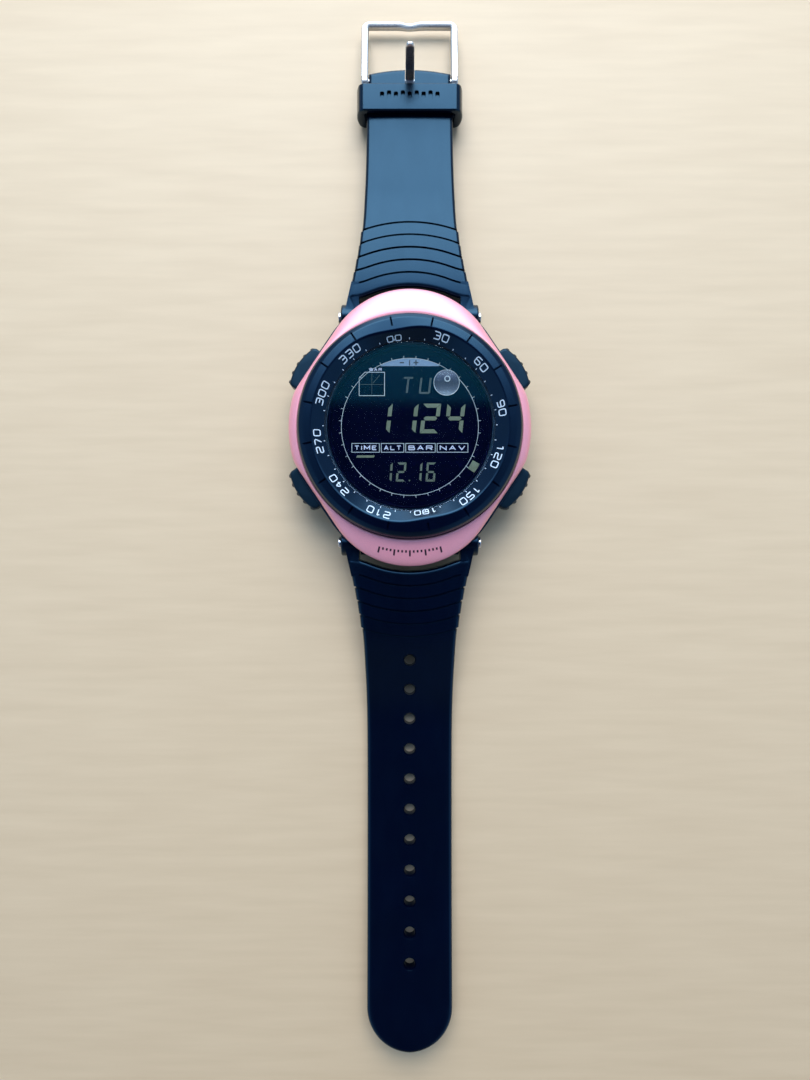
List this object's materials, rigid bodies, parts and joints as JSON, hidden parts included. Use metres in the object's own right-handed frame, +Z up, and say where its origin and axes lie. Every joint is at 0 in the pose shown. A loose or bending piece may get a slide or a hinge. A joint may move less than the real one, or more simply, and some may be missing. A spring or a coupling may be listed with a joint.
{
  "type": "wrist outdoor computer",
  "caption": "Digital wrist computer laid open, with a turning compass bezel, press buttons, a hinged strap, a buckle with a raised tongue and a sliding keeper.",
  "frame": {"origin": "middle of the laid-out watch's length and width, on the table it lies on", "axes": "+Z up out of the display, +Y along the strap to the buckle end, +X to the right-hand buttons"},
  "size_m": [0.0508, 0.2204, 0.0175],
  "materials": {
    "case_plastic": "fine moulded texture",
    "cover_paint": "pink metallic, satin",
    "bezel_plastic": "dark navy, satin, pale printed marks",
    "crystal_glass": "clear, polished",
    "elastomer": "near-black navy, matte",
    "button_rubber": "dark, matte",
    "seal_rubber": "smooth",
    "steel": "satin",
    "buckle_steel": "polished satin",
    "contact_metal": "gold plated",
    "display": "negative display, glossy",
    "dial_print": "printed, satin",
    "film": "diffusing film",
    "module_plastic": "moulded",
    "board": "solder mask",
    "chip": "moulded package"
  },
  "bodies": {
    "case": {"mid_case": "case_plastic", "top_cover": "cover_paint", "bezel_click_ring": "steel", "crystal": "crystal_glass", "crystal_gasket": "seal_rubber", "dial_ring": "dial_print", "level_vial": "crystal_glass", "lcd_panel": "display", "backlight_panel": "film", "module_frame": "module_plastic", "zebra_strip_upper": "seal_rubber", "zebra_strip_lower": "seal_rubber", "circuit_board": "board", "processor_chip": "chip", "compass_sensor": "chip", "quartz_crystal": "steel", "pressure_sensor": "steel", "sensor_vent": "steel", "buzzer": "chip", "battery": "steel", "battery_contact_negative": "contact_metal", "battery_contact_positive": "contact_metal", "case_back": "case_plastic", "case_back_gasket": "seal_rubber", "strap_pin_upper": "steel", "strap_pin_upper_screw": "steel", "strap_pin_lower": "steel", "strap_pin_lower_screw": "steel", "case_back_screw_1": "steel", "case_back_screw_2": "steel", "case_back_screw_3": "steel", "case_back_screw_4": "steel", "button_upper_right_spring": "steel", "button_upper_right_seal": "seal_rubber", "button_upper_left_spring": "steel", "button_upper_left_seal": "seal_rubber", "button_lower_left_spring": "steel", "button_lower_left_seal": "seal_rubber", "button_lower_right_spring": "steel", "button_lower_right_seal": "seal_rubber"},
    "bezel": {"compass_bezel": "bezel_plastic"},
    "battery_lid": {"battery_cover": "case_plastic", "battery_cover_seal": "seal_rubber"},
    "upper_strap": {"strap_buckle_half": "elastomer", "buckle_bar": "buckle_steel"},
    "lower_strap": {"strap_tail_half": "elastomer"},
    "buckle": {"buckle_frame": "buckle_steel"},
    "tongue": {"buckle_tongue": "buckle_steel"},
    "keeper": {"keeper": "elastomer"},
    "button_upper_right": {"button_upper_right_cap": "button_rubber", "button_upper_right_clip": "steel"},
    "button_upper_left": {"button_upper_left_cap": "button_rubber", "button_upper_left_clip": "steel"},
    "button_lower_left": {"button_lower_left_cap": "button_rubber", "button_lower_left_clip": "steel"},
    "button_lower_right": {"button_lower_right_cap": "button_rubber", "button_lower_right_clip": "steel"}
  },
  "joints": [
    {"name": "bezel_turn", "type": "hinge", "parent": "case", "child": "bezel", "pos_m": [0, 0.02185, 0.0119], "axis": [0, 0, 1], "continuous": true},
    {"name": "button_upper_right_press", "type": "slide", "parent": "case", "child": "button_upper_right", "axis": [-0.829, -0.5592, 0], "range_m": [0, 0.0008], "stiffness_N_per_m": 1000, "springref_m": -0.0015, "deforming": ["button_upper_right_spring"]},
    {"name": "button_upper_left_press", "type": "slide", "parent": "case", "child": "button_upper_left", "axis": [0.829, -0.5592, 0], "range_m": [0, 0.0008], "stiffness_N_per_m": 1000, "springref_m": -0.0015, "deforming": ["button_upper_left_spring"]},
    {"name": "button_lower_left_press", "type": "slide", "parent": "case", "child": "button_lower_left", "axis": [0.829, 0.5592, 0], "range_m": [0, 0.0008], "stiffness_N_per_m": 1000, "springref_m": -0.0015, "deforming": ["button_lower_left_spring"]},
    {"name": "button_lower_right_press", "type": "slide", "parent": "case", "child": "button_lower_right", "axis": [-0.829, 0.5592, 0], "range_m": [0, 0.0008], "stiffness_N_per_m": 1000, "springref_m": -0.0015, "deforming": ["button_lower_right_spring"]},
    {"name": "battery_cover_turn", "type": "hinge", "parent": "case", "child": "battery_lid", "pos_m": [0, 0.02185, 0.001], "axis": [0, 0, 1], "range_deg": [0, 45]},
    {"name": "upper_strap_hinge", "type": "hinge", "parent": "case", "child": "upper_strap", "pos_m": [0, 0.04565, 0.0054], "axis": [-1, 0, 0], "range_deg": [-8, 60]},
    {"name": "lower_strap_hinge", "type": "hinge", "parent": "case", "child": "lower_strap", "pos_m": [0, -0.00195, 0.0054], "axis": [1, 0, 0], "range_deg": [-8, 60]},
    {"name": "buckle_hinge", "type": "hinge", "parent": "upper_strap", "child": "buckle", "pos_m": [0, 0.09625, 0.0043], "axis": [1, 0, 0], "range_deg": [-20, 60]},
    {"name": "tongue_hinge", "type": "hinge", "parent": "upper_strap", "child": "tongue", "pos_m": [0, 0.09625, 0.0043], "axis": [1, 0, 0], "range_deg": [-90, 8]},
    {"name": "keeper_slide", "type": "slide", "parent": "upper_strap", "child": "keeper", "axis": [0, -1, 0], "range_m": [0, 0.012]}
  ]
}
